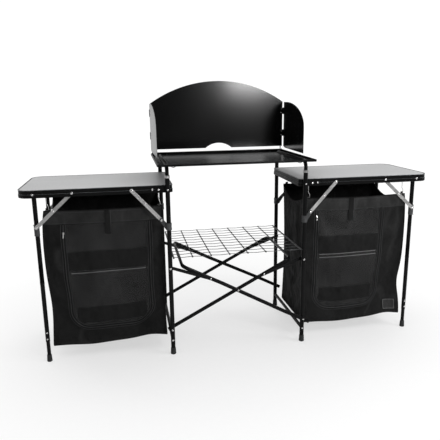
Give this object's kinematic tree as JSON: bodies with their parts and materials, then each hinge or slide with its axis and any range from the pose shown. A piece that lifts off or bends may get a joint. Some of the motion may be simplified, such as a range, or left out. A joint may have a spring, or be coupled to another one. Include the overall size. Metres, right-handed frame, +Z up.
{
  "type": "camp kitchen table",
  "caption": "Folding camp kitchen: two side tables with zip-door fabric cupboards under them, a raised stove shelf with a winged windshield, and a wire shelf on a scissor frame.",
  "frame": {"origin": "on the floor, at the middle of the centre frame", "axes": "+X to the user's right along the worktops, +Y away from the user, +Z up"},
  "size_m": [1.89, 0.516, 1.254],
  "materials": {
    "black_tube": "satin powder coat",
    "black_rail": "satin black",
    "silver": "zinc plated",
    "laminate": "fine matt laminate",
    "gloss_black": "gloss enamel",
    "fabric": "woven polyester",
    "wire": "dark nickel"
  },
  "bodies": {
    "left_centre_frame": {"left_front_centre_leg": "black_tube", "left_back_centre_leg": "black_tube", "left_front_centre_collar": "black_rail", "left_back_centre_collar": "black_rail", "left_foot_bow": "black_tube", "left_shelf_arch": "black_tube", "left_cupboard": "fabric", "wire_shelf": "wire"},
    "right_centre_frame": {"right_front_centre_leg": "black_tube", "right_back_centre_leg": "black_tube", "right_front_centre_collar": "black_rail", "right_back_centre_collar": "black_rail", "right_foot_bow": "black_tube", "right_shelf_arch": "black_tube", "right_cupboard": "fabric"},
    "scissor_b_frame": {"scissor_b": "black_tube"},
    "scissor_a_frame": {"scissor_a": "black_tube"},
    "left_stays": {"left_front_stay": "black_rail", "left_back_stay": "black_rail"},
    "right_stays": {"right_front_stay": "black_rail", "right_back_stay": "black_rail"},
    "stove_stand": {"stove_shelf": "gloss_black", "windshield_back": "gloss_black"},
    "left_wing": {"windshield_left_wing": "gloss_black"},
    "right_wing": {"windshield_right_wing": "gloss_black"},
    "left_table": {"left_table_frame": "black_rail", "left_table_top": "laminate"},
    "left_outer_legs": {"left_front_outer_leg": "black_tube", "left_front_outer_collar": "black_rail", "left_back_outer_leg": "black_tube", "left_back_outer_collar": "black_rail"},
    "left_leg_extensions": {"left_front_leg_extension": "black_tube", "left_back_leg_extension": "black_tube"},
    "left_outer_brace_rail_bars": {"left_front_outer_brace_rail_bar": "silver", "left_back_outer_brace_rail_bar": "silver"},
    "left_outer_brace_leg_bars": {"left_front_outer_brace_leg_bar": "silver", "left_back_outer_brace_leg_bar": "silver"},
    "left_inner_brace_leg_bars": {"left_front_inner_brace_leg_bar": "silver", "left_back_inner_brace_leg_bar": "silver"},
    "left_inner_brace_rail_bars": {"left_front_inner_brace_rail_bar": "silver", "left_back_inner_brace_rail_bar": "silver"},
    "right_table": {"right_table_frame": "black_rail", "right_table_top": "laminate"},
    "right_outer_legs": {"right_front_outer_leg": "black_tube", "right_front_outer_collar": "black_rail", "right_back_outer_leg": "black_tube", "right_back_outer_collar": "black_rail"},
    "right_leg_extensions": {"right_front_leg_extension": "black_tube", "right_back_leg_extension": "black_tube"},
    "right_outer_brace_rail_bars": {"right_front_outer_brace_rail_bar": "silver", "right_back_outer_brace_rail_bar": "silver"},
    "right_outer_brace_leg_bars": {"right_front_outer_brace_leg_bar": "silver", "right_back_outer_brace_leg_bar": "silver"},
    "right_inner_brace_leg_bars": {"right_front_inner_brace_leg_bar": "silver", "right_back_inner_brace_leg_bar": "silver"},
    "right_inner_brace_rail_bars": {"right_front_inner_brace_rail_bar": "silver", "right_back_inner_brace_rail_bar": "silver"}
  },
  "joints": [
    {"name": "centre_fold", "type": "hinge", "parent": "left_centre_frame", "child": "scissor_b_frame", "pos_m": [-0.315, 0, 0.121], "axis": [0, -1, 0], "range_deg": [0, 52.25], "deforming": ["wire_shelf"]},
    {"name": "scissor_cross", "type": "hinge", "parent": "scissor_b_frame", "child": "scissor_a_frame", "pos_m": [0, 0, 0.285], "axis": [0, -1, 0], "range_deg": [-104.51, 0]},
    {"name": "right_frame_turn", "type": "hinge", "parent": "scissor_a_frame", "child": "right_centre_frame", "pos_m": [0.315, 0, 0.121], "axis": [0, -1, 0], "range_deg": [0, 52.26]},
    {"name": "left_stay_turn", "type": "hinge", "parent": "left_centre_frame", "child": "left_stays", "pos_m": [-0.315, 0, 0.42], "axis": [0, -1, 0], "range_deg": [0, 99.17]},
    {"name": "right_stay_turn", "type": "hinge", "parent": "right_centre_frame", "child": "right_stays", "pos_m": [0.315, 0, 0.42], "axis": [0, -1, 0], "range_deg": [-99.17, 0]},
    {"name": "shelf_lift", "type": "slide", "parent": "left_centre_frame", "child": "stove_stand", "axis": [0, 0, 1], "range_m": [0, 0.12]},
    {"name": "left_wing_fold", "type": "hinge", "parent": "stove_stand", "child": "left_wing", "pos_m": [-0.355, 0.249, 1], "axis": [0, 0, 1], "range_deg": [0, 88.5]},
    {"name": "right_wing_fold", "type": "hinge", "parent": "stove_stand", "child": "right_wing", "pos_m": [0.355, 0.2455, 1], "axis": [0, 0, -1], "range_deg": [0, 88.5]},
    {"name": "left_table_fold", "type": "hinge", "parent": "left_centre_frame", "child": "left_table", "pos_m": [-0.353, 0, 0.781], "axis": [0, -1, 0], "range_deg": [0, 90], "deforming": ["left_cupboard"]},
    {"name": "left_inner_brace_leg_turn", "type": "hinge", "parent": "left_centre_frame", "child": "left_inner_brace_leg_bars", "pos_m": [-0.346, 0, 0.644], "axis": [0, 1, 0], "range_deg": [0, 22.87]},
    {"name": "left_inner_brace_rail_turn", "type": "hinge", "parent": "left_table", "child": "left_inner_brace_rail_bars", "pos_m": [-0.47, 0, 0.781], "axis": [0, 1, 0], "range_deg": [-67.15, 0]},
    {"name": "left_leg_fold", "type": "hinge", "parent": "left_table", "child": "left_outer_legs", "pos_m": [-0.88, 0, 0.781], "axis": [0, -1, 0], "range_deg": [0, 90]},
    {"name": "left_leg_slide", "type": "slide", "parent": "left_outer_legs", "child": "left_leg_extensions", "axis": [0, 0, 1], "range_m": [0, 0.301]},
    {"name": "left_outer_brace_rail_turn", "type": "hinge", "parent": "left_table", "child": "left_outer_brace_rail_bars", "pos_m": [-0.72, 0, 0.781], "axis": [0, 1, 0], "range_deg": [0, 42.78]},
    {"name": "left_outer_brace_leg_turn", "type": "hinge", "parent": "left_outer_legs", "child": "left_outer_brace_leg_bars", "pos_m": [-0.88, 0, 0.633], "axis": [0, 1, 0], "range_deg": [-47.24, 0]},
    {"name": "right_table_fold", "type": "hinge", "parent": "right_centre_frame", "child": "right_table", "pos_m": [0.353, 0, 0.781], "axis": [0, 1, 0], "range_deg": [0, 90], "deforming": ["right_cupboard"]},
    {"name": "right_inner_brace_leg_turn", "type": "hinge", "parent": "right_centre_frame", "child": "right_inner_brace_leg_bars", "pos_m": [0.346, 0, 0.644], "axis": [0, -1, 0], "range_deg": [0, 22.87]},
    {"name": "right_inner_brace_rail_turn", "type": "hinge", "parent": "right_table", "child": "right_inner_brace_rail_bars", "pos_m": [0.47, 0, 0.781], "axis": [0, -1, 0], "range_deg": [-67.15, 0]},
    {"name": "right_leg_fold", "type": "hinge", "parent": "right_table", "child": "right_outer_legs", "pos_m": [0.88, 0, 0.781], "axis": [0, 1, 0], "range_deg": [0, 90]},
    {"name": "right_leg_slide", "type": "slide", "parent": "right_outer_legs", "child": "right_leg_extensions", "axis": [0, 0, 1], "range_m": [0, 0.301]},
    {"name": "right_outer_brace_rail_turn", "type": "hinge", "parent": "right_table", "child": "right_outer_brace_rail_bars", "pos_m": [0.72, 0, 0.781], "axis": [0, -1, 0], "range_deg": [0, 42.78]},
    {"name": "right_outer_brace_leg_turn", "type": "hinge", "parent": "right_outer_legs", "child": "right_outer_brace_leg_bars", "pos_m": [0.88, 0, 0.633], "axis": [0, -1, 0], "range_deg": [-47.24, 0]}
  ],
  "couplings": [
    {"joint": "scissor_cross", "follows": "centre_fold", "ratio": -2},
    {"joint": "right_frame_turn", "follows": "centre_fold", "ratio": 1},
    {"joint": "left_stay_turn", "follows": "centre_fold", "ratio": 1.8978},
    {"joint": "right_stay_turn", "follows": "centre_fold", "ratio": -1.8978},
    {"joint": "left_inner_brace_leg_turn", "follows": "left_table_fold", "ratio": 0.25398},
    {"joint": "left_inner_brace_rail_turn", "follows": "left_table_fold", "ratio": -0.74602},
    {"joint": "left_leg_slide", "follows": "left_leg_fold", "m_per_rad": 0.19099},
    {"joint": "left_outer_brace_rail_turn", "follows": "left_leg_fold", "ratio": 0.47521},
    {"joint": "left_outer_brace_leg_turn", "follows": "left_leg_fold", "ratio": -0.52479},
    {"joint": "right_inner_brace_leg_turn", "follows": "right_table_fold", "ratio": 0.25398},
    {"joint": "right_inner_brace_rail_turn", "follows": "right_table_fold", "ratio": -0.74602},
    {"joint": "right_leg_slide", "follows": "right_leg_fold", "m_per_rad": 0.19099},
    {"joint": "right_outer_brace_rail_turn", "follows": "right_leg_fold", "ratio": 0.47521},
    {"joint": "right_outer_brace_leg_turn", "follows": "right_leg_fold", "ratio": -0.52479}
  ]
}
